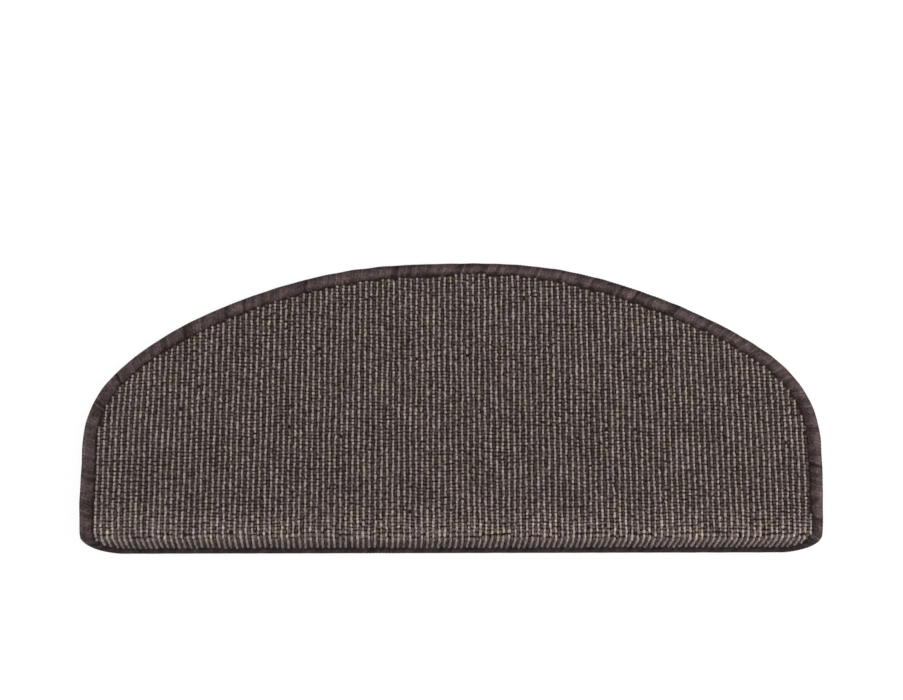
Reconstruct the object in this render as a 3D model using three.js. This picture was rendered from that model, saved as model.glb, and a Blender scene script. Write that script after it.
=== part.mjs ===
// Anti slip stair tread mat: a half-round ribbed carpet folded down over the front of a step,
// whipped with yarn all round, with a stiffening angle in its fold and two adhesive strips.
// +X runs along the step, +Y towards its back and +Z up. z = 0 is the top of the step, and
// the origin is the middle of the front adhesive strip.
import * as THREE from 'three';

// The mat's outline in millimetres. The fold line is where the planes of tread and lip meet.
const matWidth = 650;
const treadDepth = 248;
const lipHeight = 40;
const shoulderRadius = 101;
const backRadius = 520;
const cornerRun = 33; // how far each rounded corner of the lip runs in along its lower edge
const cornerDrop = 1; // how far below the fold's bend such a corner starts
const foldTurn = THREE.MathUtils.degToRad(70);

// The carpet: rows of light and dark loops in turn on one backing
const rowPitch = 2.54;
const grooveHeight = 4.7;
const darkRowHeight = 5.2;
const lightRowHeight = 5.7;
const pressedThickness = 3; // under the whipped edge

// The whipped edge, which grips the carpet's rim
const bindingWidth = 11.4;
const bindingRim = 1.2;
const bindingUnderLeg = 0.85;
const bindingOverLeg = 1.9;
const bindingInnerEdge = 0.4;
const bindingRoundOver = 2.6;
const fitGap = 0.3;

// The stiffening angle inside the fold
const angleThickness = 1;
const angleInsideRadius = 1.7;
const angleTreadLeg = 24;
const angleLipLeg = 19;
const angleEndSpace = 4; // from the angle's ends to the lip's rounded corners

// The adhesive strips and the liners that cover them
const stripWidth = 40;
const stripSpace = 4; // between the angle and the front strip
const stripPitch = 115; // from the middle of the front strip to the middle of the rear one
const stripEndSpace = 22; // from a strip's ends to the whipped edge
const linerThickness = 0.2;
const linerTab = 6; // how far a liner stands out past its strip at both ends

// How finely the curves are divided
const bendFacets = 4;
const cornerFacets = 6;
const shoulderFacets = 10;
const backFacets = 40;
const frontFacets = 40;
const whipFacets = 3;

// Places that follow from those sizes. s runs along the carpet laid flat, from the start of
// the bend, positive to the back and negative down the lip. n stands on the carpet's back.
const halfWidth = matWidth / 2;
const bendRadius = angleInsideRadius + angleThickness + fitGap;
const stripThickness = angleThickness + fitGap - linerThickness;
const carpetBack = angleThickness + fitGap;
const setback = (bendRadius + lightRowHeight) * Math.tan(foldTurn / 2);
const bendStart = -(stripWidth / 2 + stripSpace + angleTreadLeg);
const bendLength = foldTurn * (bendRadius + pressedThickness / 2);
const bendEnd = -bendLength;
const treadEnd = treadDepth - setback;
const lipFlat = lipHeight - setback;
const lipEnd = bendEnd - lipFlat;
const cornerRise = lipFlat - cornerDrop;
const backCentre = treadEnd - backRadius;
const shoulderX = halfWidth - shoulderRadius;
const shoulderS = backCentre + Math.sqrt((backRadius - shoulderRadius) ** 2 - shoulderX ** 2);
const joinAngle = Math.atan2(shoulderS - backCentre, shoulderX);
const pileInset = bindingWidth + fitGap;
const rimInset = bindingRim + fitGap;

const bendStops = Array.from({ length: bendFacets + 1 }, (_, k) => bendEnd * (1 - k / bendFacets));

// A point of the flat carpet, folded over the front of the step
function folded(x, s, n) {
  const turn = foldTurn * THREE.MathUtils.clamp(s / bendEnd, 0, 1);
  const along = s > 0 ? s : Math.min(0, s - bendEnd);
  const reach = bendRadius + n;
  return new THREE.Vector3(
    x,
    bendStart - reach * Math.sin(turn) + along * Math.cos(turn),
    carpetBack - bendRadius + reach * Math.cos(turn) + along * Math.sin(turn),
  );
}

function arcPoints(centreX, centreS, runX, runS, from, to, facets) {
  return Array.from({ length: facets + 1 }, (_, k) => {
    const a = from + ((to - from) * k) / facets;
    return [centreX + runX * Math.cos(a), centreS + runS * Math.sin(a)];
  });
}

// The mat's outline moved in by inset, anticlockwise from the lip's lower right corner. It also
// gives the numbers of the points that lie at the bend's stops on the right and on the left.
function outline(inset, frontCount) {
  const cornerX = halfWidth - cornerRun;
  const cornerS = lipEnd + cornerRise;
  const runIn = cornerRun - inset;
  const riseIn = cornerRise - inset;
  const side = halfWidth - inset;
  const shoulder = shoulderRadius - inset;
  const back = backRadius - inset;
  const half = Math.PI / 2;
  const right = arcPoints(cornerX, cornerS, runIn, riseIn, -half, 0, cornerFacets);
  const rightStops = bendStops.map((_, k) => right.length + k);
  right.push(...bendStops.map((s) => [side, s]));
  right.push(...arcPoints(shoulderX, shoulderS, shoulder, shoulder, 0, joinAngle, shoulderFacets));
  const over = arcPoints(0, backCentre, back, back, joinAngle, Math.PI - joinAngle, backFacets);
  const left = right.map(([x, s]) => [-x, s]).reverse();
  const points = [...right, ...over.slice(1, -1), ...left];
  const leftStops = rightStops.map((k) => points.length - 1 - k);
  for (let k = 1; k < frontCount; k++) {
    points.push([cornerX * ((2 * k) / frontCount - 1), lipEnd + inset]);
  }
  return { points, rightStops, leftStops };
}

// Where a line across the mat at x meets the outline moved in by inset
function backAt(x, inset) {
  const away = Math.abs(x);
  const joinX = (backRadius - inset) * Math.cos(joinAngle);
  if (away <= joinX) {
    return backCentre + Math.sqrt((backRadius - inset) ** 2 - away ** 2);
  }
  const past = Math.min(away - shoulderX, shoulderRadius - inset);
  return shoulderS + Math.sqrt((shoulderRadius - inset) ** 2 - past ** 2);
}

function frontAt(x, inset) {
  const past = Math.abs(x) - (halfWidth - cornerRun);
  if (past <= 0) {
    return lipEnd + inset;
  }
  const share = Math.min(past / (cornerRun - inset), 1);
  return lipEnd + cornerRise - (cornerRise - inset) * Math.sqrt(1 - share ** 2);
}

// Half the mat's width at s, inside the outline moved in by inset
function halfWidthAt(s, inset) {
  const joinS = backCentre + (backRadius - inset) * Math.sin(joinAngle);
  if (s <= shoulderS) {
    return halfWidth - inset;
  }
  if (s <= joinS) {
    return shoulderX + Math.sqrt((shoulderRadius - inset) ** 2 - (s - shoulderS) ** 2);
  }
  return Math.sqrt((backRadius - inset) ** 2 - (s - backCentre) ** 2);
}

// A closed surface in the making: points of the folded carpet and triangles between them
class Skin {
  constructor() {
    this.positions = [];
    this.triangles = [];
  }

  point(x, s, n) {
    const at = folded(x, s, n);
    this.positions.push(at.x, at.y, at.z);
    return this.positions.length / 3 - 1;
  }

  quad(a, b, c, d) {
    this.triangles.push(a, b, c, a, c, d);
  }

  // A band between two closed loops with as many points each
  band(lower, upper) {
    lower.forEach((_, k) => {
      const next = (k + 1) % lower.length;
      this.quad(lower[k], lower[next], upper[next], upper[k]);
    });
  }

  // A band between two closed loops of any number of points, matched by their bearing
  bridge(lower, upper) {
    let i = 0;
    let j = 0;
    while (i < lower.length || j < upper.length) {
      const below = bearing(lower, i + 1);
      const above = bearing(upper, j + 1);
      const a = lower[i % lower.length].id;
      const b = upper[j % upper.length].id;
      if (j === upper.length || (i < lower.length && below <= above)) {
        i += 1;
        this.triangles.push(a, lower[i % lower.length].id, b);
      } else {
        j += 1;
        this.triangles.push(a, upper[j % upper.length].id, b);
      }
    }
  }

  // A flat face that looks towards the carpet's back
  underside(points, ids) {
    const contour = ids.map((id) => new THREE.Vector2(...points[id]));
    for (const [a, b, c] of THREE.ShapeUtils.triangulateShape(contour, [])) {
      this.triangles.push(ids[a], ids[c], ids[b]);
    }
  }

  geometry() {
    const geometry = new THREE.BufferGeometry();
    geometry.setAttribute('position', new THREE.Float32BufferAttribute(this.positions, 3));
    geometry.setIndex(this.triangles);
    geometry.computeVertexNormals();
    return geometry;
  }
}

// How far round a loop point k lies, seen from the middle of the tread, one turn more each lap
function bearing(loop, k) {
  return loop[k % loop.length].bearing + (k >= loop.length ? 2 * Math.PI : 0);
}

// A loop of points with their bearings, starting from the lowest bearing
function byBearing(entries) {
  const loop = entries.map(({ id, x, s }) => ({ id, bearing: Math.atan2(s, x) }));
  const first = loop.reduce((best, entry, k) => (entry.bearing < loop[best].bearing ? k : best), 0);
  return [...loop.slice(first), ...loop.slice(0, first)];
}

// Across the rows: x and height of each crest and groove, out from a light row at the middle
function rowProfile() {
  const edge = halfWidth - pileInset;
  const step = rowPitch / 2;
  const heights = [lightRowHeight, grooveHeight, darkRowHeight, grooveHeight];
  const side = [];
  for (let k = 1; k * step < edge - step / 2; k++) {
    side.push({ x: k * step, n: heights[k % heights.length] });
  }
  side.push({ x: edge, n: grooveHeight });
  const mirrored = side.map(({ x, n }) => ({ x: -x, n })).reverse();
  return [...mirrored, { x: 0, n: lightRowHeight }, ...side];
}

// The pile's top, with a point on each crest and groove at each stop. It returns the rim.
function addRows(skin) {
  const columns = rowProfile().map(({ x, n }) => {
    const stops = [frontAt(x, pileInset), ...bendStops, backAt(x, pileInset)];
    return stops.map((s) => ({ id: skin.point(x, s, n), x, s }));
  });
  for (let j = 0; j + 1 < columns.length; j++) {
    for (let k = 0; k + 1 < columns[j].length; k++) {
      const [a, b] = [columns[j], columns[j + 1]];
      skin.quad(a[k].id, b[k].id, b[k + 1].id, a[k + 1].id);
    }
  }
  const right = columns[columns.length - 1].slice(1, -1);
  const left = columns[0].slice(1, -1).reverse();
  const front = columns.map((column) => column[0]);
  const back = columns.map((column) => column[column.length - 1]).reverse();
  return [...front, ...right, ...back, ...left];
}

// The carpet: ribbed pile, a pressed rim for the whipped edge, and a plain back
function carpetGeometry() {
  const skin = new Skin();
  const pileRim = addRows(skin);
  const inner = outline(pileInset, frontFacets).points;
  const rim = outline(rimInset, frontFacets);
  const foot = inner.map(([x, s]) => skin.point(x, s, pressedThickness));
  const rimTop = rim.points.map(([x, s]) => skin.point(x, s, pressedThickness));
  const rimBottom = rim.points.map(([x, s]) => skin.point(x, s, 0));
  skin.bridge(byBearing(inner.map(([x, s], k) => ({ id: foot[k], x, s }))), byBearing(pileRim));
  skin.band(rimTop, foot);
  skin.band(rimBottom, rimTop);

  const { rightStops, leftStops } = rim;
  const last = bendFacets;
  const order = rim.points.map((_, k) => k);
  const lip = [...order.slice(leftStops[0]), ...order.slice(0, rightStops[0] + 1)];
  const tread = order.slice(rightStops[last], leftStops[last] + 1);
  const bottomPoints = [];
  rimBottom.forEach((id, k) => {
    bottomPoints[id] = rim.points[k];
  });
  skin.underside(bottomPoints, lip.map((k) => rimBottom[k]));
  skin.underside(bottomPoints, tread.map((k) => rimBottom[k]));
  for (let k = 0; k < last; k++) {
    const corners = [leftStops[k], leftStops[k + 1], rightStops[k + 1], rightStops[k]];
    skin.quad(...corners.map((corner) => rimBottom[corner]));
  }
  return skin.geometry();
}

// Across the whipped edge: [distance in from the mat's edge, height], round the gripped rim
function bindingSection() {
  const under = -fitGap - bindingUnderLeg;
  const slotTop = pressedThickness + fitGap;
  const crown = slotTop + bindingOverLeg;
  const middle = (under + crown) / 2;
  const section = new THREE.Path();
  section.moveTo(bindingWidth, under);
  section.lineTo(bindingRoundOver, under);
  section.quadraticCurveTo(0, under, 0, middle);
  section.quadraticCurveTo(0, crown, bindingWidth * 0.45, crown);
  section.quadraticCurveTo(bindingWidth * 0.9, crown, bindingWidth, slotTop + bindingInnerEdge);
  section.lineTo(bindingWidth, slotTop);
  section.lineTo(bindingRim, slotTop);
  section.lineTo(bindingRim, -fitGap);
  section.lineTo(bindingWidth, -fitGap);
  return section.getPoints(whipFacets);
}

// The whipped edge: its section carried once round the mat and over the fold at both sides
function bindingGeometry() {
  const skin = new Skin();
  const loops = bindingSection().map(({ x: inset, y: n }) => {
    return outline(inset, 1).points.map(([x, s]) => skin.point(x, s, n));
  });
  loops.forEach((loop, k) => skin.band(loop, loops[(k + 1) % loops.length]));
  return skin.geometry();
}

// The stiffening angle: one thin L section with a round inside corner, between the lip's corners
function angleGeometry() {
  const stops = [bendEnd - angleLipLeg, ...bendStops, angleTreadLeg];
  const outside = stops.map((s) => folded(0, s, -fitGap));
  const inside = stops.map((s) => folded(0, s, -fitGap - angleThickness)).reverse();
  const section = new THREE.Shape([...outside, ...inside].map((at) => new THREE.Vector2(at.y, at.z)));
  const length = 2 * (halfWidth - cornerRun - angleEndSpace);
  const geometry = new THREE.ExtrudeGeometry(section, { depth: length, bevelEnabled: false });
  geometry.translate(0, 0, -length / 2);
  const alongX = new THREE.Vector3(1, 0, 0);
  const alongY = new THREE.Vector3(0, 1, 0);
  const alongZ = new THREE.Vector3(0, 0, 1);
  return geometry.applyMatrix4(new THREE.Matrix4().makeBasis(alongY, alongZ, alongX));
}

// An adhesive strip with its liner, cut square to the room that the mat leaves at its back edge
function addStrip(mat, name, middleY) {
  const rearS = middleY + stripWidth / 2 - bendStart;
  const length = 2 * (halfWidthAt(rearS, bindingWidth) - stripEndSpace);
  const strip = new THREE.BoxGeometry(length, stripWidth, stripThickness);
  const liner = new THREE.BoxGeometry(length + 2 * linerTab, stripWidth, linerThickness);
  const stripMesh = new THREE.Mesh(strip, foam);
  stripMesh.name = `${name}_adhesive_strip`;
  stripMesh.position.set(0, middleY, linerThickness + stripThickness / 2);
  const linerMesh = new THREE.Mesh(liner, releasePaper);
  linerMesh.name = `${name}_release_liner`;
  linerMesh.position.set(0, middleY, linerThickness / 2);
  mat.add(stripMesh, linerMesh);
}

const loopPile = new THREE.MeshStandardMaterial({ color: 0x544947, roughness: 0.95, metalness: 0 });
const whippingYarn = new THREE.MeshStandardMaterial({ color: 0x4b4040, roughness: 0.85, metalness: 0 });
const blackPlastic = new THREE.MeshStandardMaterial({ color: 0x2a2a2c, roughness: 0.5, metalness: 0 });
const foam = new THREE.MeshStandardMaterial({ color: 0xe4e1da, roughness: 0.8, metalness: 0 });
const releasePaper = new THREE.MeshStandardMaterial({ color: 0xeee6cf, roughness: 0.45, metalness: 0 });

const mat = new THREE.Group();
const pieces = [
  ['carpet', carpetGeometry(), loopPile],
  ['edge_binding', bindingGeometry(), whippingYarn],
  ['nosing_angle', angleGeometry(), blackPlastic],
];
for (const [name, geometry, material] of pieces) {
  const mesh = new THREE.Mesh(geometry, material);
  mesh.name = name;
  mat.add(mesh);
}
addStrip(mat, 'front', 0);
addStrip(mat, 'rear', stripPitch);

export default mat;
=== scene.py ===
# Anti slip stair tread mat: a half-round of ribbed loop pile carpet, folded down over the
# nose of a step, with yarn whipped over its edge all round. Sizes here are millimetres.
import math

import bpy
import numpy as np
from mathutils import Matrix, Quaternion, Vector


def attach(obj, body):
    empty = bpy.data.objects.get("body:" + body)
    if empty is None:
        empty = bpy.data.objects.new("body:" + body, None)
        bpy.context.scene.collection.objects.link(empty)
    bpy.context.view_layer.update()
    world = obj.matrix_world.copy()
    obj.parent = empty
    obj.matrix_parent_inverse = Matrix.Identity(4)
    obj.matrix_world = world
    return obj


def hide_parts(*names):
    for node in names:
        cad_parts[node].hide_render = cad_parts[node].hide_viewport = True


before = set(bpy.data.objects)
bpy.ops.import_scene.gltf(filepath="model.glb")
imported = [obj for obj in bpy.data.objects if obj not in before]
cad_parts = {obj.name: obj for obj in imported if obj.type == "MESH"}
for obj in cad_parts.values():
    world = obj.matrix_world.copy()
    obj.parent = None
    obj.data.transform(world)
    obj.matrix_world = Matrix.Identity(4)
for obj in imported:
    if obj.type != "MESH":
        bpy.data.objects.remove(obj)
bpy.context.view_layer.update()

millimetre = 0.001
dice = np.random.default_rng(11)

# The mat's cut, as the part's source has it. Places on the flat carpet are x along the step
# and s from the start of the bend, positive to the back; n stands on the carpet's back.
mat = {
    "width": 650,
    "treadDepth": 248,
    "lipHeight": 40,
    "foldTurn": math.radians(70),
    "shoulderRadius": 101,
    "backRadius": 520,
    "cornerRun": 33,  # how far each rounded corner of the lip runs in along its lower edge
    "cornerDrop": 1,
    "bendRadius": 3,
    "bendStart": -48,  # y of the start of the bend
    "carpetBack": 1.3,  # z of the carpet's back, on a strip and its liner
    "pressedThickness": 3,  # of the carpet under the whipped edge
    "thickness": 8.7,  # the bend's radius out to the light rows' tops
}
halfWidth = mat["width"] / 2
bendEnd = -mat["foldTurn"] * (mat["bendRadius"] + mat["pressedThickness"] / 2)
setback = mat["thickness"] * math.tan(mat["foldTurn"] / 2)
treadEnd = mat["treadDepth"] - setback
lipEnd = bendEnd - (mat["lipHeight"] - setback)
cornerRise = mat["lipHeight"] - setback - mat["cornerDrop"]
backCentre = treadEnd - mat["backRadius"]
shoulderX = halfWidth - mat["shoulderRadius"]
shoulderS = backCentre + math.sqrt((mat["backRadius"] - mat["shoulderRadius"]) ** 2 - shoulderX ** 2)
joinAngle = math.atan2(shoulderS - backCentre, shoulderX)

# How far the tight whipping draws the cut edge in. It is hand work, so no two places are the
# same, and a pair is for the left and for the right.
pull = {
    "fold": (2.3, 3.4),
    "foldPeak": -6,  # the s where the fold draws in the most
    "foldReach": (32, 68),  # how far up the tread's sides it is felt
    "foldWidth": 100,  # and how far in from them
    "lipShare": (1, 0.66),  # what is left of it low on the lip
    "lipRun": 20,  # how far down the lip it takes to get there
    "shoulder": (3.3, 1.7),
    "shoulderAngle": 0.84,  # radians up round the shoulder, where it is felt the most
    "shoulderSpread": 0.36,
    "back": [(-10, 62, 2.3), (115, 60, -1.3)],  # where, how wide, and how far in or out
    "backDepth": 140,
}


def ramp(value, start, end):
    # 0 before start, 1 past end and even between them; end may be the lower of the two
    return np.clip((value - start) / (end - start), 0, 1)


def hill(offset, width):
    return np.exp(-(offset / width) ** 2)


def drawIn(x, s):
    # moves flat places as the whipping draws the cut edge in
    onRight = x > 0
    fold, reach, lipShare, shoulder = [
        np.where(onRight, pull[key][1], pull[key][0])
        for key in ("fold", "foldReach", "lipShare", "shoulder")]
    aside = np.abs(x)
    nearFold = ramp(s, reach, pull["foldPeak"]) * ramp(aside, halfWidth - pull["foldWidth"], halfWidth)
    lowOnLip = ramp(s, bendEnd, bendEnd - pull["lipRun"])
    atFold = fold * nearFold ** 2 * (1 - (1 - lipShare) * lowOnLip)
    angle = np.arctan2(s - shoulderS, aside - shoulderX)
    share = np.clip(np.hypot(aside - shoulderX, s - shoulderS) / mat["shoulderRadius"], 0, 1) ** 2
    atShoulder = shoulder * share * hill(angle - pull["shoulderAngle"], pull["shoulderSpread"])
    atBack = sum(depth * hill(x - middle, width) for middle, width, depth in pull["back"])
    atBack = atBack * ramp(s, treadEnd - pull["backDepth"], treadEnd)
    side = np.where(onRight, 1, -1)
    return x - side * (atFold + atShoulder * np.cos(angle)), s - atShoulder * np.sin(angle) - atBack


def turnAt(s):
    # how far the fold has turned, from the tread to the lip
    return mat["foldTurn"] * ramp(s, 0, bendEnd)


def foldOver(x, s, n):
    # bends flat places over the nose of the step
    x, s = drawIn(x, s)
    turn = turnAt(s)
    along = np.where(s > 0, s, np.minimum(0, s - bendEnd))
    reach = mat["bendRadius"] + n
    y = mat["bendStart"] - reach * np.sin(turn) + along * np.cos(turn)
    z = mat["carpetBack"] - mat["bendRadius"] + reach * np.cos(turn) + along * np.sin(turn)
    return np.stack([x, y, z], axis=-1)


def frontAt(x, inset):
    # the lip's lower edge, with its round corners
    past = np.abs(x) - (halfWidth - mat["cornerRun"])
    part = np.clip(past / (mat["cornerRun"] - inset), 0, 1)
    rounded = lipEnd + cornerRise - (cornerRise - inset) * np.sqrt(1 - part ** 2)
    return np.where(past <= 0, lipEnd + inset, rounded)


def backAt(x, inset):
    # the long curve of the back and the two tighter shoulders
    side = np.abs(x)
    radius = mat["backRadius"] - inset
    long = backCentre + np.sqrt(np.maximum(radius ** 2 - side ** 2, 0))
    tight = (mat["shoulderRadius"] - inset) ** 2 - (side - shoulderX) ** 2
    return np.where(side <= radius * math.cos(joinAngle), long, shoulderS + np.sqrt(np.maximum(tight, 0)))


def insideCut(x, s, inset):
    within = np.abs(x) < halfWidth - inset
    return within & (s > frontAt(x, inset)) & (s < backAt(x, inset))


# Unevenness. Each noise further down is a pair, the width of its hills and its seed.
noise = {
    "waves": 7,
    "paces": (0.6, 1.5),  # the slowest and the quickest wave
    "peak": 3.2,  # what the waves' sum seldom passes
}


def smoothNoise(x, y, size, seed):
    # soft random hills from about -1 to 1
    waves = np.random.default_rng(seed)
    total = np.zeros_like(x)
    for _ in range(noise["waves"]):
        heading = waves.uniform(0, math.tau)
        pace = math.tau / size * waves.uniform(*noise["paces"])
        total += np.sin((x * math.cos(heading) + y * math.sin(heading)) * pace + waves.uniform(0, math.tau))
    return total / noise["peak"]


def hueOf(patch, onLip, settings):
    # soft olive and plum patches, and a plum cast low on the lip
    return 1 + patch[..., None] * settings["patchHue"] + onLip[..., None] * settings["lipHue"]


# Where the wraps of the edge are short, low on the tread's right side and near the middle of
# its back. A pair is where a stretch starts and where it has come in fully.
short = {
    "sideX": (250, 300),
    "sideBelow": (60, 10),
    "sideAbove": (bendEnd, bendEnd + 5),
    "backMiddle": 38,
    "backWidth": 55,
    "backAbove": (100, 150),
}


def shortWraps(x, s):
    # 1 where the wraps are short, and 0 elsewhere
    atSide = ramp(x, *short["sideX"]) * ramp(s, *short["sideBelow"]) * ramp(s, *short["sideAbove"])
    atBack = hill(x - short["backMiddle"], short["backWidth"]) * ramp(s, *short["backAbove"])
    return np.maximum(atSide, atBack)


# Making meshes

def addObject(name, data):
    thing = bpy.data.objects.new(name, data)
    bpy.context.scene.collection.objects.link(thing)
    return thing


def makePiece(name, points, faces, materials):
    mesh = bpy.data.meshes.new(name)
    mesh.from_pydata((points * millimetre).tolist(), [], faces.tolist())
    for material in materials:
        mesh.materials.append(material)
    piece = addObject(name, mesh)
    mesh.polygons.foreach_set("use_smooth", np.ones(len(faces), bool))
    mesh.update()
    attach(piece, "root")
    return piece


def paintPoints(piece, name, colours):
    layer = piece.data.color_attributes.new(name, "FLOAT_COLOR", "POINT")
    alpha = np.ones((len(colours), 1))
    layer.data.foreach_set("color", np.hstack([colours, alpha]).ravel().astype(np.float32))


def mapPoints(piece, name, places):
    # a UV map from one place for each point
    layer = piece.data.uv_layers.new(name=name)
    corners = np.empty(len(piece.data.loops), np.int32)
    piece.data.loops.foreach_get("vertex_index", corners)
    layer.data.foreach_set("uv", places[corners].ravel().astype(np.float32))


def gridFaces(rows, columns):
    # quads between the points of a grid, which lie row by row
    start = (np.arange(rows - 1)[:, None] * columns + np.arange(columns - 1)).ravel()
    return np.stack([start, start + 1, start + columns + 1, start + columns], axis=1)


# Materials

def linear(red, green, blue):
    # a colour as a paint program writes it, 0 to 255, to the light that Blender works in
    share = np.array([red, green, blue]) / 255
    return np.where(share < 0.04045, share / 12.92, ((share + 0.055) / 1.055) ** 2.4)


def grey(share):
    return (share, share, share)


def newMaterial(name, roughness, specular=0.5, sheen=0.0, sheenRoughness=0.4):
    material = bpy.data.materials.new(name)
    material.use_nodes = True
    tree = material.node_tree
    shader = tree.nodes["Principled BSDF"]
    shader.inputs["Roughness"].default_value = roughness
    shader.inputs["Specular IOR Level"].default_value = specular
    shader.inputs["Sheen Weight"].default_value = sheen
    shader.inputs["Sheen Roughness"].default_value = sheenRoughness
    return material, tree, shader


def addNode(tree, kind, values=None, **settings):
    node = tree.nodes.new("ShaderNode" + kind)
    for key, value in settings.items():
        setattr(node, key, value)
    for key, value in (values or {}).items():
        node.inputs[key].default_value = value
    return node


def objectPlace(tree):
    return addNode(tree, "TexCoord").outputs["Object"]


def addNoise(tree, place, size, stretch=(1, 1, 1), detail=3.0):
    # size is the millimetres from one lump to the next
    mapping = addNode(tree, "Mapping", {"Scale": stretch})
    tree.links.new(place, mapping.inputs["Vector"])
    lumps = addNode(tree, "TexNoise", {"Scale": 1 / (size * millimetre), "Detail": detail})
    tree.links.new(mapping.outputs["Vector"], lumps.inputs["Vector"])
    return lumps.outputs["Fac"]


def rampColours(tree, factor, low, high, start=0.3, end=0.7):
    colours = addNode(tree, "ValToRGB")
    for element, position, colour in zip(colours.color_ramp.elements, (start, end), (low, high)):
        element.position = position
        element.color = (*colour, 1)
    tree.links.new(factor, colours.inputs["Fac"])
    return colours.outputs["Color"]


def multiplyColours(tree, first, second):
    mix = addNode(tree, "Mix", data_type="RGBA", blend_type="MULTIPLY")
    mix.inputs["Factor"].default_value = 1
    tree.links.new(first, mix.inputs["A"])
    tree.links.new(second, mix.inputs["B"])
    return mix.outputs["Result"]


def larger(tree, first, second):
    choice = addNode(tree, "Math", operation="MAXIMUM")
    tree.links.new(first, choice.inputs[0])
    tree.links.new(second, choice.inputs[1])
    return choice.outputs["Value"]


def mixShaders(tree, share, first, second):
    # the first shader where share is 0, and the second where it is 1
    mix = addNode(tree, "MixShader")
    for socket, source in enumerate((share, first, second)):
        tree.links.new(source, mix.inputs[socket])
    return mix.outputs[0]


def addBump(tree, shader, height, depth, strength=1.0):
    # depth is the millimetres from the lowest place to the highest
    bump = addNode(tree, "Bump", {"Strength": strength, "Distance": depth * millimetre})
    tree.links.new(height, bump.inputs["Height"])
    tree.links.new(bump.outputs["Normal"], shader.inputs["Normal"])


def yarnMaterial(name, sheen):
    # spun yarn: the loops' paint, painted light and shade included, broken up by fibres
    material, tree, shader = newMaterial(name, roughness=0.85, specular=0.25, sheen=sheen)
    fibres = addNoise(tree, objectPlace(tree), size=0.55, stretch=(1.0, 0.45, 1.0))
    tint = addNode(tree, "Attribute", attribute_name="loopPaint").outputs["Color"]
    spread = rampColours(tree, fibres, low=(0.62, 0.6, 0.58), high=grey(1.3))
    tree.links.new(multiplyColours(tree, tint, spread), shader.inputs["Base Color"])
    addBump(tree, shader, fibres, depth=0.35, strength=0.8)
    return material


def groundMaterial():
    material, tree, shader = newMaterial("pile_ground", roughness=0.95, specular=0.1)
    tufts = addNoise(tree, objectPlace(tree), size=1.2)
    colour = rampColours(tree, tufts, low=linear(26, 17, 14), high=linear(62, 48, 42))
    tree.links.new(colour, shader.inputs["Base Color"])
    addBump(tree, shader, tufts, depth=0.8)
    return material


def scrimThreads(tree, flat, direction, space=2.5):
    # threads that lie side by side along X or Y, with space from one to the next
    values = {"Scale": 1 / (space * millimetre) / math.tau, "Distortion": 0.6, "Detail": 1.0}
    threads = addNode(tree, "TexWave", values, wave_type="BANDS", bands_direction=direction)
    tree.links.new(flat, threads.inputs["Vector"])
    return threads.outputs["Fac"]


def backingMaterial():
    # a coarse woven scrim, half sunk in dark latex
    material, tree, shader = newMaterial("latex_backing", roughness=0.7, specular=0.3)
    flat = addNode(tree, "UVMap", uv_map="flat").outputs["UV"]
    weave = larger(tree, scrimThreads(tree, flat, "X"), scrimThreads(tree, flat, "Y"))
    clouds = addNoise(tree, objectPlace(tree), size=14)
    spread = rampColours(tree, clouds, low=grey(0.75), high=grey(1.2))
    colour = rampColours(tree, weave, low=linear(44, 38, 35), high=linear(84, 74, 66), start=0.35, end=0.95)
    tree.links.new(multiplyColours(tree, colour, spread), shader.inputs["Base Color"])
    addBump(tree, shader, weave, depth=0.4)
    return material


def whippingMaterial():
    # fine filaments run along each wrap, and tufts of fuzz lie across them
    material, tree, shader = newMaterial("whipping_yarn", roughness=0.9, specular=0.1, sheen=0.04)
    wrap = addNode(tree, "UVMap", uv_map="wraps").outputs["UV"]
    stretched = addNode(tree, "Mapping", {"Scale": (4.5, 0.7, 1)})
    tree.links.new(wrap, stretched.inputs["Vector"])
    filaments = addNode(tree, "TexNoise", {"Scale": 1.0, "Detail": 3.0, "Roughness": 0.6})
    tree.links.new(stretched.outputs["Vector"], filaments.inputs["Vector"])
    fuzz = addNoise(tree, objectPlace(tree), size=1.7, detail=4.0)
    tint = addNode(tree, "Attribute", attribute_name="wrapPaint").outputs["Color"]
    streaks = rampColours(tree, filaments.outputs["Fac"], low=(0.55, 0.52, 0.53), high=grey(1.6))
    spread = rampColours(tree, fuzz, low=(0.6, 0.58, 0.58), high=grey(1.5))
    colour = multiplyColours(tree, multiplyColours(tree, tint, spread), streaks)
    tree.links.new(colour, shader.inputs["Base Color"])
    addBump(tree, shader, filaments.outputs["Fac"], depth=0.4, strength=0.9)
    return material


def plainMaterial(name, low, high, grain, depth, roughness, specular=0.5):
    # a moulded or coated surface with a fine uneven grain
    material, tree, shader = newMaterial(name, roughness, specular)
    grains = addNoise(tree, objectPlace(tree), grain, detail=5.0)
    tree.links.new(rampColours(tree, grains, low, high), shader.inputs["Base Color"])
    addBump(tree, shader, grains, depth)
    return material


# The carpet's ground: its backing and the dark pile close to it, pressed flat under the edge

ground = {
    "rimInset": 1.5,
    "columns": 161,
    "lipRows": 9,
    "bendRows": 9,
    "treadRows": 41,
}


def rimOf(rows, columns):
    # the points round a grid's edge, in turn
    bottom = np.arange(columns)
    right = np.arange(1, rows) * columns + columns - 1
    top = (rows - 1) * columns + np.arange(columns - 1)[::-1]
    left = np.arange(1, rows - 1)[::-1] * columns
    return np.concatenate([bottom, right, top, left])


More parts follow.
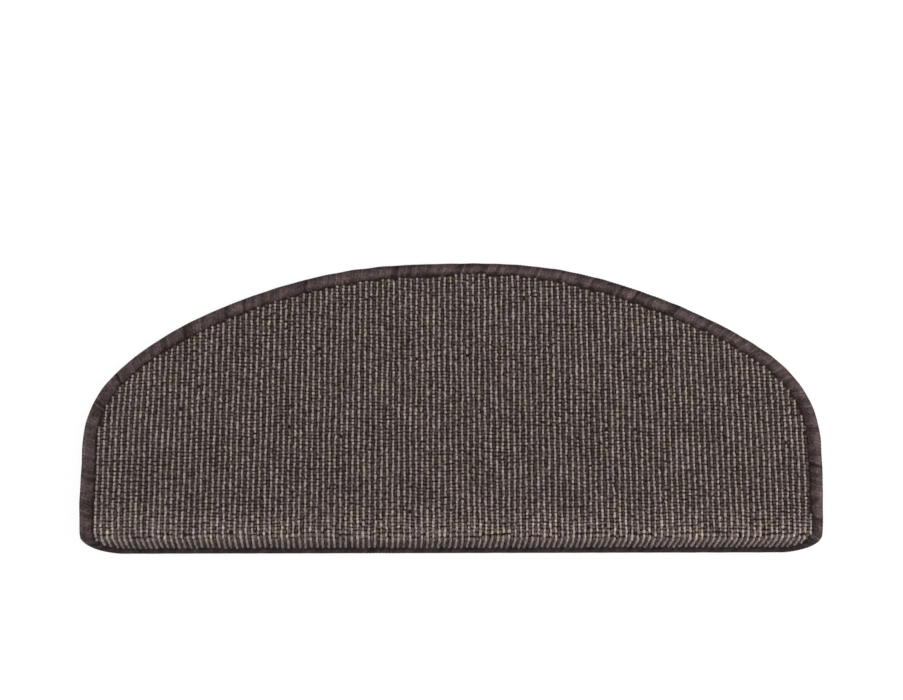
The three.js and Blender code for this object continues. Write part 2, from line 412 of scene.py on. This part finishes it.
def groundGrid():
    # the flat places of the ground's points, in rows that follow the bend and the cut
    inset = ground["rimInset"]
    x = (halfWidth - inset) * np.sin(np.linspace(-math.pi / 2, math.pi / 2, ground["columns"]))
    foldLine = np.full_like(x, bendEnd)
    startLine = np.zeros_like(x)
    lip = np.linspace(frontAt(x, inset), foldLine, ground["lipRows"])[:-1]
    bend = np.linspace(foldLine, startLine, ground["bendRows"])[:-1]
    tread = np.linspace(startLine, backAt(x, inset), ground["treadRows"])
    s = np.concatenate([lip, bend, tread])
    return np.broadcast_to(x, s.shape), s


def makeGround():
    x, s = groundGrid()
    rows, columns = s.shape
    top = foldOver(x, s, np.full_like(s, mat["pressedThickness"])).reshape(-1, 3)
    under = foldOver(x, s, np.zeros_like(s)).reshape(-1, 3)
    upper = gridFaces(rows, columns)
    rim = rimOf(rows, columns)
    after = np.roll(rim, -1)
    count = rows * columns
    walls = np.stack([rim, rim + count, after + count, after], axis=1)
    faces = np.concatenate([upper, upper[:, ::-1] + count, walls])
    piece = makePiece("carpet_ground", np.concatenate([top, under]), faces,
                      [groundMaterial(), backingMaterial()])
    flat = np.stack([x, s], axis=-1).reshape(-1, 2) * millimetre
    mapPoints(piece, "flat", np.concatenate([flat, flat]))
    isBacking = np.zeros(len(faces), np.int32)
    isBacking[len(upper):2 * len(upper)] = 1
    piece.data.polygons.foreach_set("material_index", isBacking)
    area = float((s[-1] - s[0])[:-1] @ np.diff(x[0])) * millimetre ** 2
    print("carpet ground of", round(area, 4), "square metres")
    return piece, area


# The rows of loops, light and dark in turn, which run from the lip to the back

loops = {
    "rowSpace": 5.07,  # from one light row to the next
    "rowShift": -0.8,  # the middle light row's x
    "pitch": 2.83,  # from loop to loop in a row; all rows keep step with one another
    "drift": 0.9,  # how far that step strays over the mat
    "driftNoise": (80, 41),
    "wander": 0.24,  # how far each row swings from side to side
    "bowLengths": (9, 16),  # the shortest and the longest swing
    "lipSkew": 0.07,  # the rows run a little askew down the lip
    "clearOfEdge": 13.0,  # from the mat's edge to the outermost loops' middles
    "closerBy": 1.6,  # how much less that is where the wraps are short
    "clearOfLipEdge": 14.8,
    "pressedBand": 5,  # how far in from the outermost loops the whipping still holds them down
    "pressedSteps": 5,
    "pressedBy": 0.9,
    "crease": -3.2,  # where the pile parts over the bend
    "creaseWander": 0.8,
    "creaseNoise": (23, 33),
    "creaseHalfGap": 1.2,
    "creaseSpread": (0.5, 1.15),  # the least and the most of it that a loop keeps clear
    "breakNoise": (30, 31),
    "breakBelow": -0.2,  # where this noise is lower, the crease is closed
    "bendReach": 2.5,  # how far past the bend the loops still spread apart
    "bendFull": 1.3,  # over 1, so that they are fully apart before the bend's middle
    "bendStretch": 0.4,
    "rings": [(0.85, 0.0), (1.0, 0.42), (0.74, 0.8)],  # a loop's widths and their heights
    "foot": 2.4,
    "crestSpread": 0.16,
    "leanSpread": 0.16,
    "parts": 3,  # how many pieces the loops of one kind are made in
    "shadeSpread": 0.2,
    "shadeLimits": (-2.2, 1.7),
    "clouds": 0.06,
    "cloudNoise": (40, 3),
    "rightPaintedLight": 0.05,  # painted light: the right side is a little lighter than the left
    "noseLightOnTread": (27, 7),  # painted light on the pile over the nose, from here to here
    "noseLightPower": 1.6,
    "noseLightOnLip": (-8.5, -3.5),  # and from here up to here on the lip
    "noseLightSpread": 0.3,
    "noseLightNoise": (45, 7),
    "noseLightStripes": 0.4,  # under 1, so that the painted light's patches are longer along the rows
    "patchNoise": (25, 5),
    "patchLimits": (-1.2, 1.8),
    "patchJitter": 0.15,
    "patchHue": np.array([0.01, 0.025, -0.06]),
    "lipHue": np.array([0, -0.07, 0]),
    # painted shade on each loop, darkest at its foot, where shade falls between the loops
    "footPaintedShade": 0.45,
    "noseLitFootShade": 0.3,  # what the painted light over the nose adds to it
    "crestPaintedShade": 1.05,
    "shadePower": 0.8,
    "light": {
        "offset": 0.0,  # in row spaces, from the middle light row
        "sides": 8,
        "halfWidth": 1.2,
        "halfLength": 1.54,
        "crest": 5.7,
        "jitter": 0.22,  # how far single loops stand off their step along the row
        "stray": 0.17,  # and how far out of their row
        "missing": 0.002,
        "sizeSpread": 0.12,
        "turnSpread": 0.16,
        "colour": linear(161, 149, 145),
        "sheen": 0.25,
        "noseLight": 0.21,  # how much painted light brightens these loops over the nose
        "lipPaintedShade": 0.25,  # and how much painted shade darkens them low on the lip
    },
    "dark": {
        "offset": 0.5,
        "sides": 6,
        "halfWidth": 1.68,
        "halfLength": 1.2,
        "crest": 5.0,
        "jitter": 0.26,
        "stray": 0.28,
        "missing": 0.004,
        "sizeSpread": 0.18,
        "turnSpread": 0.4,
        "colour": linear(82, 68, 64),
        "sheen": 0.1,
        "noseLight": 0.6,
        "lipPaintedShade": 0.38,
    },
}
lipFade = 12  # how far past the bend a colour takes to change to the lip's


def onLipAt(s):
    return ramp(s, bendEnd, bendEnd - lipFade)


def loopShape(sides):
    # one loop of yarn: rings from its foot to its crest, as (across, along, up), from -1 to 1
    angles = np.arange(sides) * math.tau / sides
    rings = loops["rings"]
    points = [(0, 0, 0)]
    for width, height in rings:
        points += [(width * math.cos(a), width * math.sin(a), height) for a in angles]
    points.append((0, 0, 1))
    faces = []
    for i in range(sides):
        j = (i + 1) % sides
        faces.append((0, 1 + j, 1 + i))
        for ring in range(len(rings) - 1):
            low = 1 + ring * sides
            faces += [(low + i, low + j, low + sides + j), (low + i, low + sides + j, low + sides + i)]
        low = 1 + (len(rings) - 1) * sides
        faces.append((low + i, low + j, len(points) - 1))
    return np.array(points), np.array(faces)


def clearance(x, s):
    return loops["clearOfEdge"] - loops["closerBy"] * shortWraps(x, s)


def loopPlaces(kind):
    # the middles of all loops of one kind, row by row
    rowCount = int(halfWidth // loops["rowSpace"])
    steps = np.arange(lipEnd, treadEnd, loops["pitch"])
    places = []
    for row in range(-rowCount - 1, rowCount + 1):
        middle = (row + kind["offset"]) * loops["rowSpace"] + loops["rowShift"]
        drift = loops["drift"] * smoothNoise(middle + 0 * steps, steps, *loops["driftNoise"])
        s = steps + drift + dice.normal(0, kind["jitter"], len(steps))
        bow = np.sin(s / dice.uniform(*loops["bowLengths"]) + dice.uniform(0, math.tau))
        x = middle + loops["wander"] * bow + dice.normal(0, kind["stray"], len(s))
        x = x + loops["lipSkew"] * np.minimum(s - bendEnd, 0)
        places.append(np.stack([x, s], axis=1))
    places = openCrease(np.concatenate(places))
    x, s = places.T
    keep = insideCut(x, s, clearance(x, s)) & (s > frontAt(x, loops["clearOfLipEdge"]))
    keep &= dice.uniform(size=len(places)) > kind["missing"]
    return places[keep]


def openCrease(places):
    # most loops on the bend lean away from one line, which leaves a broken dark crease
    x, s = places.T
    line = loops["crease"] + loops["creaseWander"] * smoothNoise(x, 0 * x, *loops["creaseNoise"])
    off = s - line
    parted = np.abs(off) < loops["creaseHalfGap"]
    parted &= smoothNoise(x, 0 * x, *loops["breakNoise"]) > loops["breakBelow"]
    halfGap = loops["creaseHalfGap"] * dice.uniform(*loops["creaseSpread"], len(off))
    places[parted, 1] = (line + np.sign(off) * halfGap)[parted]
    return places


def onBend(s):
    # 1 in the middle of the bend, where the loops spread apart, and 0 clear of it
    away = np.abs(s - bendEnd / 2) / (-bendEnd / 2 + loops["bendReach"])
    return np.clip(loops["bendFull"] * (1 - away), 0, 1)


def nearEdge(x, s):
    # 1 for the outermost loops, down to 0 for those that stand free
    start = clearance(x, s)
    depth = np.zeros_like(x)
    for step in np.linspace(0, loops["pressedBand"], loops["pressedSteps"] + 1)[1:]:
        depth += insideCut(x, s, start + step) / loops["pressedSteps"]
    return 1 - depth


def loopPoints(kind, shape, x, s):
    # gives each loop its own size, turn and lean
    count = len(x)
    widths = kind["halfWidth"] * dice.normal(1, kind["sizeSpread"], count)
    lengths = kind["halfLength"] * dice.normal(1, kind["sizeSpread"], count)
    lengths = lengths * (1 + loops["bendStretch"] * onBend(s))
    crests = kind["crest"] + dice.normal(0, loops["crestSpread"], count)
    crests = crests - loops["pressedBy"] * nearEdge(x, s)
    turns = dice.normal(0, kind["turnSpread"], count)
    leans = dice.normal(0, loops["leanSpread"], count)
    broad = shape[:, 0] * widths[:, None]
    long = shape[:, 1] * lengths[:, None]
    rise = shape[:, 2] * (crests - loops["foot"])[:, None]
    cosine, sine = np.cos(turns)[:, None], np.sin(turns)[:, None]
    across = broad * cosine - long * sine
    along = long * cosine + broad * sine + leans[:, None] * rise
    return standLoops(x, s, across, along, loops["foot"] + rise)


def standLoops(x, s, across, along, up):
    # stands each loop on the folded carpet without bending the loop itself
    middle = foldOver(x, s, np.zeros_like(x))
    turn = turnAt(s)
    back = np.stack([np.zeros_like(turn), np.cos(turn), np.sin(turn)], axis=1)
    out = np.stack([np.zeros_like(turn), -np.sin(turn), np.cos(turn)], axis=1)
    side = np.array([1.0, 0, 0])
    return (middle[:, None] + across[..., None] * side + along[..., None] * back[:, None]
            + up[..., None] * out[:, None])


def noseLightAt(x, s):
    # how much painted light falls, unevenly, on the pile over the nose
    noseLit = ramp(s, *loops["noseLightOnTread"]) ** loops["noseLightPower"] * ramp(s, *loops["noseLightOnLip"])
    return noseLit * (1 + loops["noseLightSpread"] * smoothNoise(x, loops["noseLightStripes"] * s, *loops["noseLightNoise"]))


def loopPaint(kind, x, s, heights):
    # each loop's random shade and hue, with painted shade that darkens it towards its foot
    shade = 1 + loops["shadeSpread"] * np.clip(dice.normal(size=len(x)), *loops["shadeLimits"])
    shade = shade * (1 + loops["clouds"] * smoothNoise(x, s, *loops["cloudNoise"]))
    # painted light, a little more to the right
    shade = shade * (1 + loops["rightPaintedLight"] * x / halfWidth)
    # painted light over the nose
    noseLit, onLip = noseLightAt(x, s), onLipAt(s)
    # painted shade low on the lip, and the painted light over the nose
    shade = shade * (1 + kind["noseLight"] * noseLit) * (1 - kind["lipPaintedShade"] * onLip)
    patch = np.clip(smoothNoise(x, s, *loops["patchNoise"]) ** 3, *loops["patchLimits"])
    patch = patch + dice.normal(0, loops["patchJitter"], len(x))
    # painted shade, darker towards each loop's foot; the painted light over the nose lifts it
    foot = loops["footPaintedShade"] + loops["noseLitFootShade"] * noseLit[:, None]
    depth = foot + (loops["crestPaintedShade"] - foot) * heights ** loops["shadePower"]
    return kind["colour"] * (shade[:, None] * hueOf(patch, onLip, loops))[:, None] * depth[..., None]


def makeLoops(name):
    kind = loops[name]
    shape, shapeFaces = loopShape(kind["sides"])
    x, s = loopPlaces(kind).T
    points = loopPoints(kind, shape, x, s)
    paint = loopPaint(kind, x, s, shape[:, 2])
    material = yarnMaterial(name + "_yarn", kind["sheen"])
    pieces = []
    for part, chosen in enumerate(np.array_split(np.arange(len(x)), loops["parts"])):
        faces = (np.arange(len(chosen))[:, None, None] * len(shape) + shapeFaces[None]).reshape(-1, 3)
        piece = makePiece(f"{name}_loops_{part + 1}", points[chosen].reshape(-1, 3), faces,
                          [material])
        paintPoints(piece, "loopPaint", paint[chosen].reshape(-1, 3))
        pieces.append(piece)
    print(len(x), name, "loops")
    return pieces


# The whipped edge: one yarn wrapped over the rim all the way round

whipping = {
    "seed": 23,
    "wrapPitch": 2.9,
    "stations": 8,  # along the edge for each wrap
    "slant": 0.32,  # how far a wrap runs on along the edge for each millimetre across it
    "ridge": 0.5,
    "ridgeMiddle": 0.75,  # the part of a ridge that lies under the section's line
    "looseBy": 0.05,  # how far, in wraps, the yarn lies off its even pitch
    "looseStep": 0.37,
    "looseNoiseBy": 0.06,
    "looseNoise": (5, 21),
    "looseAcross": 0.2,
    "innerEnd": 9,  # the wraps' reach changes only further in than this
    "lipWidening": 0.24,  # they reach further up the lip
    "shortBy": 0.13,  # less far in a few places
    "raggedness": 0.035,  # and unevenly everywhere
    "waviness": 0.3,  # how far the edge strays from its line
    "wavinessNoise": (26, 19),
    "colour": linear(78, 66, 66),
    "shadeSpread": 0.24,
    # painted shade in the valleys between wraps, painted light along their tops
    "valleyPaintedShade": 0.6,
    "ridgePaintedLight": 0.56,  # painted light: what a ridge's top adds to it
    "clouds": 0.16,
    "lipClouds": 0.14,  # what the lip adds to them
    "cloudNoise": (12, 9),
    "lipPaintedShade": 0.49,  # painted shade: the wraps are darker on the lip, which gets less light than the tread
    "patchNoise": (15, 13),
    "patchHue": np.array([0.01, 0.03, -0.04]),
    "lipHue": np.array([0, -0.05, 0.04]),
    # painted light and shade on each side of the mat, by how far in from the edge the yarn lies: lighter or
    # darker as its slopes face the lamps
    "shadeInsets": [1, 3, 5, 8, 10],
    "lipShades": [1.15, 1.1, 1.05, 0.9, 0.7],
    "leftShades": [1.15, 1.1, 0.75, 0.75, 0.7],
    "rightShades": [1.3, 1.5, 1.2, 0.7, 0.6],
    "backShades": [0.6, 0.7, 1.0, 1.15, 0.65],
    "backFrom": (0.45, 0.95),  # how squarely the edge faces the back where its shades start and hold
    "backFadesAt": (-260, 0),  # the x between which they weaken to the left
    "backWeakest": 0.45,
    # inset, height, and how far the wraps show there, over the rim and back under it
    "section": [
        (11.6, 3.35, 0.0), (11.5, 3.75, 0.3), (10.2, 4.4, 0.8), (7.8, 5.0, 1.0), (5.2, 5.25, 1.0),
        (2.7, 5.05, 1.0), (0.8, 4.1, 1.0), (0.1, 2.1, 1.0), (0.4, 0.2, 1.0), (1.6, -0.85, 0.8),
        (5.0, -1.0, 0.4), (10.6, -1.0, 0.3), (11.3, -0.35, 0.0), (1.3, -0.3, 0.0), (1.3, 3.3, 0.0),
    ],
    # how many points each stretch of the outline is measured by
    "frontSteps": 300,
    "cornerSteps": 60,
    "sideSteps": 60,
    "shoulderSteps": 90,
    "backSteps": 400,
    "headingSpan": 3,  # the edge's direction is taken over this many stations to both sides
}


def arcPoints(centre, radii, start, end, steps):
    turn = np.linspace(start, end, steps)
    return np.stack([centre[0] + radii[0] * np.cos(turn), centre[1] + radii[1] * np.sin(turn)], axis=1)


def edgePath():
    # the mat's outline, anticlockwise from above, from the front left corner
    innerX = halfWidth - mat["cornerRun"]
    sideEnd = lipEnd + cornerRise
    front = np.linspace((-innerX, lipEnd), (innerX, lipEnd), whipping["frontSteps"])
    corner = arcPoints((innerX, sideEnd), (mat["cornerRun"], cornerRise),
                       -math.pi / 2, 0, whipping["cornerSteps"])
    side = np.linspace((halfWidth, sideEnd), (halfWidth, shoulderS), whipping["sideSteps"])
    shoulder = arcPoints((shoulderX, shoulderS), [mat["shoulderRadius"]] * 2,
                         0, joinAngle, whipping["shoulderSteps"])
    back = arcPoints((0, backCentre), [mat["backRadius"]] * 2,
                     joinAngle, math.pi - joinAngle, whipping["backSteps"])
    right = np.concatenate([corner[1:], side[1:], shoulder[1:]])
    left = right[::-1] * [-1, 1]
    return np.concatenate([front, right, back[1:-1], left[:-1]])


def distancesAlong(points):
    steps = np.linalg.norm(np.diff(points, axis=0), axis=1)
    return np.concatenate([[0], np.cumsum(steps)])


def leftNormals(points, span):
    # at each point of a closed path, the way that lies square to it on its left
    heading = np.roll(points, -span, axis=0) - np.roll(points, span, axis=0)
    heading /= np.linalg.norm(heading, axis=1)[:, None]
    return np.stack([-heading[:, 1], heading[:, 0]], axis=1)


def evenPath(points, spacing, whole):
    # even steps along a closed path, whole of them for each spacing, and the way in
    closed = np.concatenate([points, points[:1]])
    gone = distancesAlong(closed)
    count = round(gone[-1] / spacing) * whole
    at = np.arange(count) * gone[-1] / count
    places = np.stack([np.interp(at, gone, closed[:, 0]), np.interp(at, gone, closed[:, 1])], axis=1)
    return places, leftNormals(places, whipping["headingSpan"])


def wrapRidges(phase, travel):
    # the round back of each wrap: 0 in the valleys between wraps and 1 along their tops
    across = whipping["looseAcross"] * travel + 0 * phase
    loose = whipping["looseBy"] * np.sin(phase * whipping["looseStep"])
    loose = loose + whipping["looseNoiseBy"] * smoothNoise(phase, across, *whipping["looseNoise"])
    part = (phase + loose) % 1
    return np.sqrt(np.maximum(1 - (2 * part - 1) ** 2, 0))


def paintedShadingInwards(inset, places, outwardY, onLip):
    # how the painted light and shade change from the edge inwards, on each side of the mat
    lip, left, right, back = [
        np.interp(inset, whipping["shadeInsets"], whipping[side + "Shades"])[None]
        for side in ("lip", "left", "right", "back")]
    x = places[:, :1]
    strength = np.interp(x, whipping["backFadesAt"], [whipping["backWeakest"], 1])
    turnedBack = ramp(outwardY, *whipping["backFrom"]) * strength
    sides = np.where(x > 0, right, left)
    return lip * onLip + (1 - onLip) * (back * turnedBack + sides * (1 - turnedBack))


def wrapPaint(shade, x, s, onLip):
    clouds = whipping["clouds"] + whipping["lipClouds"] * onLip
    shade = shade * (1 + clouds * smoothNoise(x, s, *whipping["cloudNoise"]))
    # painted shade low on the lip
    shade = shade * (1 - (1 - whipping["lipPaintedShade"]) * onLip)
    patch = smoothNoise(x, s, *whipping["patchNoise"])
    return shade[..., None] * hueOf(patch, onLip, whipping) * whipping["colour"]


def wrapSurface(places, inward, section, ridge, reach):
    # where the yarn's surface lies on the flat mat, and how high it stands there
    x, s = places[:, :1], places[:, 1:]
    outward = -leftNormals(section[:, :2], 1)
    lift = whipping["ridge"] * (ridge - whipping["ridgeMiddle"]) * section[:, 2]
    inset = section[:, 0] * np.where(section[:, 0] > whipping["innerEnd"], reach, 1) + lift * outward[:, 0]
    stray = (1 + smoothNoise(x, s, *whipping["wavinessNoise"])) / 2
    inset = inset + whipping["waviness"] * stray
    return x + inward[:, :1] * inset, s + inward[:, 1:] * inset, section[:, 1] + lift * outward[:, 1]


def makeWhipping():
    twist = np.random.default_rng(whipping["seed"])
    pitch, stations = whipping["wrapPitch"], whipping["stations"]
    places, inward = evenPath(edgePath(), pitch, stations)
    wraps = len(places) // stations
    onLip = onLipAt(places[:, 1:])
    section = np.array(whipping["section"])
    travel = distancesAlong(section[:, :2])
    phase = np.arange(len(places))[:, None] / stations + travel * whipping["slant"] / pitch
    number = np.floor(phase).astype(int) % wraps
    ridge = wrapRidges(phase, travel)
    shortness = shortWraps(places[:, :1], places[:, 1:])
    reach = 1 + whipping["lipWidening"] * onLip - whipping["shortBy"] * shortness
    reach = reach + whipping["raggedness"] * twist.normal(size=wraps)[number]
    x, s, height = wrapSurface(places, inward, section, ridge, reach)
    points = foldOver(x, s, height).reshape(-1, 3)
    piece = makePiece("whipped_edge", points, ringFaces(len(places), len(section)),
                      [whippingMaterial()])
    shade = twist.normal(1, whipping["shadeSpread"], wraps)[number]
    # painted shade between the wraps and painted light along their tops
    shade = shade * (whipping["valleyPaintedShade"] + whipping["ridgePaintedLight"] * ridge)
    # painted light and shade across the edge, as its slopes face the lamps
    shade = shade * paintedShadingInwards(section[:, 0], places, -inward[:, 1:], onLip)
    paintPoints(piece, "wrapPaint", wrapPaint(shade, x, s, onLip).reshape(-1, 3))
    thread = np.stack([phase, np.broadcast_to(travel / pitch, phase.shape)], axis=-1)
    mapPoints(piece, "wraps", thread.reshape(-1, 2))
    print("whipped edge of", wraps, "wraps")
    return piece


def ringFaces(stations, around):
    # quads of a closed ring with a closed section
    station = np.arange(stations)[:, None]
    point = np.arange(around)[None]
    nextStation = (station + 1) % stations
    nextPoint = (point + 1) % around
    corners = [station * around + point, station * around + nextPoint,
               nextStation * around + nextPoint, nextStation * around + point]
    return np.stack(corners, axis=-1).reshape(-1, 4)


# The pieces under the carpet, which keep their solids and get their own finishes

finishes = {
    "black_plastic": dict(low=linear(24, 24, 25), high=linear(38, 38, 39),
                          grain=0.5, depth=0.04, roughness=0.42),
    "adhesive_foam": dict(low=linear(196, 194, 186), high=linear(224, 222, 214),
                          grain=0.5, depth=0.12, roughness=0.8, specular=0.3),
    "release_paper": dict(low=linear(205, 188, 140), high=linear(224, 208, 164),
                          grain=3.0, depth=0.04, roughness=0.35),
}
finishOf = {
    "nosing_angle": "black_plastic",
    "front_adhesive_strip": "adhesive_foam",
    "rear_adhesive_strip": "adhesive_foam",
    "front_release_liner": "release_paper",
    "rear_release_liner": "release_paper",
}


def dressHidden():
    materials = {name: plainMaterial(name, **values) for name, values in finishes.items()}
    for node, finish in finishOf.items():
        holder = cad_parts[node]
        holder.data.materials.clear()
        holder.data.materials.append(materials[finish])
    print("finishes on", len(finishOf), "hidden pieces")


# The stage: a plain floor that the mat lies on, soft lamps and the camera

stage = {
    "floorSize": 14,  # metres, as all here but the lens
    "floorColour": 0.96,
    "floorShade": 0.14,  # how much of the floor's own light and shadow shows on the white
    "shadeEnds": (0.35, 1.1),  # from the middle: further off, the floor is as white as the backdrop
    "floorWhite": 1.03,
    "floorBounce": 0.45,  # how much light the floor throws back up under the mat
    "backEdgeDepth": 0.006,  # where the mat's back edge is looked for, in from its last point
    "worldLight": 0.34,
    # each lamp's place, size and watts; the last is under the floor, for the mat's underside
    "lamps": [((0.1, -0.5, 2.4), 2.2, 33), ((0.9, 0.3, 2.2), 2.0, 15), ((0, 0.1, -1.6), 1.6, 20)],
    "cameraTarget": (0, 0.1128, 0),
    "cameraDistance": 1.05,
    "cameraElevation": 80.0,  # degrees
    "cameraRoll": -0.12,
    "cameraReach": (0.05, 30),  # the nearest and the furthest that it sees
    "focalLength": 46.78,  # millimetres
    "sensorWidth": 36,
}


def shadeShare(tree):
    # how much of the floor's own light and shadow shows, less and less away from the mat
    away = addNode(tree, "VectorMath", operation="LENGTH")
    tree.links.new(objectPlace(tree), away.inputs[0])
    near, far = stage["shadeEnds"]
    values = {"From Min": near, "From Max": far, "To Min": stage["floorShade"], "To Max": 0.0}
    fade = addNode(tree, "MapRange", values, interpolation_type="SMOOTHSTEP")
    tree.links.new(away.outputs["Value"], fade.inputs["Value"])
    return fade.outputs["Result"]


def floorMaterial():
    # white where it is seen, grey to the mat's underside, and not there at all from below
    material = bpy.data.materials.new("white_floor")
    material.use_nodes = True
    tree = material.node_tree
    tree.nodes.clear()
    path = addNode(tree, "LightPath").outputs
    lit = addNode(tree, "BsdfDiffuse", {"Color": (*grey(stage["floorColour"]), 1)}).outputs[0]
    bounce = addNode(tree, "BsdfDiffuse", {"Color": (*grey(stage["floorBounce"]), 1)}).outputs[0]
    white = addNode(tree, "Emission", {"Color": (*grey(1), 1), "Strength": stage["floorWhite"]}).outputs[0]
    clear = addNode(tree, "BsdfTransparent").outputs[0]
    seen = mixShaders(tree, shadeShare(tree), white, lit)
    isSeen = larger(tree, path["Is Camera Ray"], path["Is Glossy Ray"])
    isSeen = larger(tree, isSeen, path["Is Transmission Ray"])
    shown = mixShaders(tree, isSeen, bounce, seen)
    # the floor lets the light from below through, to the mat's underside
    through = larger(tree, addNode(tree, "NewGeometry").outputs["Backfacing"], path["Is Shadow Ray"])
    output = addNode(tree, "OutputMaterial")
    tree.links.new(mixShaders(tree, through, shown, clear), output.inputs["Surface"])
    return material


def makeFloor(edge):
    # the mat rests on its back edge and on its lip's lower edge, so the floor touches both
    points = np.array([point.co[:] for point in edge.data.vertices])
    backPoint = points[points[:, 1] > points[:, 1].max() - stage["backEdgeDepth"]]
    backPoint = backPoint[backPoint[:, 2].argmin()]
    ahead = points[points[:, 1] < 0]
    slope = ((backPoint[2] - ahead[:, 2]) / (backPoint[1] - ahead[:, 1])).max()
    half = stage["floorSize"] / 2
    corners = [(x, y, backPoint[2] + slope * (y - backPoint[1])) for x, y in
               ((-half, -half), (half, -half), (half, half), (-half, half))]
    mesh = bpy.data.meshes.new("floor")
    mesh.from_pydata(corners, [], [(0, 1, 2, 3)])
    mesh.materials.append(floorMaterial())
    addObject("floor", mesh)


def makeWorld():
    world = bpy.data.worlds.new("studio")
    world.use_nodes = True
    bpy.context.scene.world = world
    tree = world.node_tree
    tree.nodes.clear()
    isSeen = addNode(tree, "LightPath").outputs["Is Camera Ray"]
    around, behind = [
        addNode(tree, "Background", {"Color": (*grey(1), 1), "Strength": strength}).outputs[0]
        for strength in (stage["worldLight"], 1.0)]
    output = addNode(tree, "OutputWorld")
    tree.links.new(mixShaders(tree, isSeen, around, behind), output.inputs["Surface"])


def aim(direction):
    return Vector(direction).to_track_quat("-Z", "Y")


def makeLamps():
    target = np.array(stage["cameraTarget"])
    for number, (place, size, watts) in enumerate(stage["lamps"]):
        lamp = bpy.data.lights.new(f"lamp_{number + 1}", "AREA")
        lamp.shape = "SQUARE"
        lamp.size = size
        lamp.energy = watts
        holder = addObject(lamp.name, lamp)
        holder.location = place
        holder.rotation_euler = aim(target - np.array(place)).to_euler()


def makeCamera():
    lens = bpy.data.cameras.new("camera")
    lens.sensor_width = stage["sensorWidth"]
    lens.lens = stage["focalLength"]
    lens.clip_start, lens.clip_end = stage["cameraReach"]
    camera = addObject("camera", lens)
    rise = math.radians(stage["cameraElevation"])
    back = np.array([0, -math.cos(rise), math.sin(rise)])
    camera.location = np.array(stage["cameraTarget"]) + back * stage["cameraDistance"]
    roll = Quaternion((0, 0, 1), math.radians(stage["cameraRoll"]))
    camera.rotation_euler = (aim(-back) @ roll).to_euler()
    bpy.context.scene.camera = camera


carpet, flatArea = makeGround()
lightRows = makeLoops("light")
darkRows = makeLoops("dark")
edge = makeWhipping()
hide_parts("carpet")
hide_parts("edge_binding")
dressHidden()
makeFloor(edge)
makeWorld()
makeLamps()
makeCamera()
bpy.context.scene.view_settings.view_transform = "Standard"
print("floor, lamps and camera in place")
